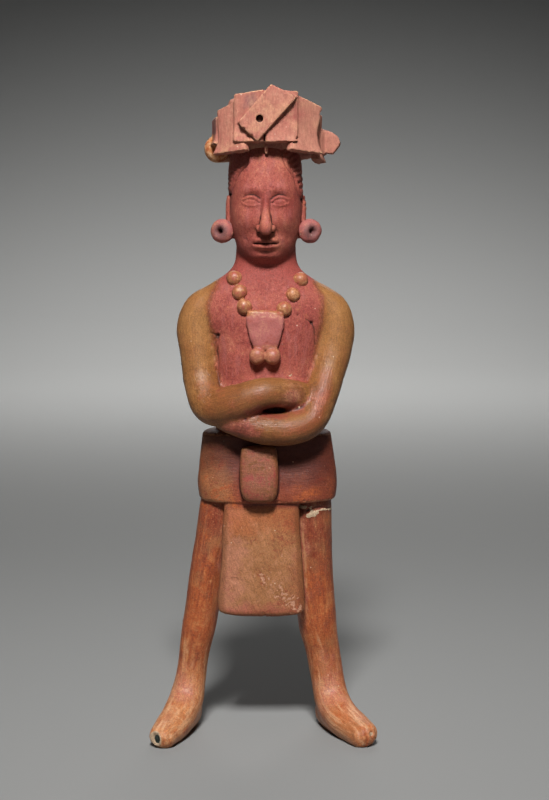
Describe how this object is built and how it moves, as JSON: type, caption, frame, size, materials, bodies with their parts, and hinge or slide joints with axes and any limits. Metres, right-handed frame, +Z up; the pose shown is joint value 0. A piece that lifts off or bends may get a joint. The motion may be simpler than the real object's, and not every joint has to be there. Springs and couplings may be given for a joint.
{
  "type": "terracotta figure",
  "caption": "Standing hand-modelled terracotta figure with folded arms, bead necklace, thick belt with hanging front panel, ear ornaments and a slab headdress.",
  "frame": {"origin": "on the floor, under the middle of the figure's bounding box", "axes": "+Z up along the height, the figure faces -Y, +X to the right as seen from the front"},
  "size_m": [0.1016, 0.0596, 0.2903],
  "materials": {
    "fired_clay": "burnished and slipped terracotta, rust orange with dusty red-pink pigment, worn"
  },
  "bodies": {
    "root": {"terracotta_figure": "fired_clay"}
  },
  "joints": []
}
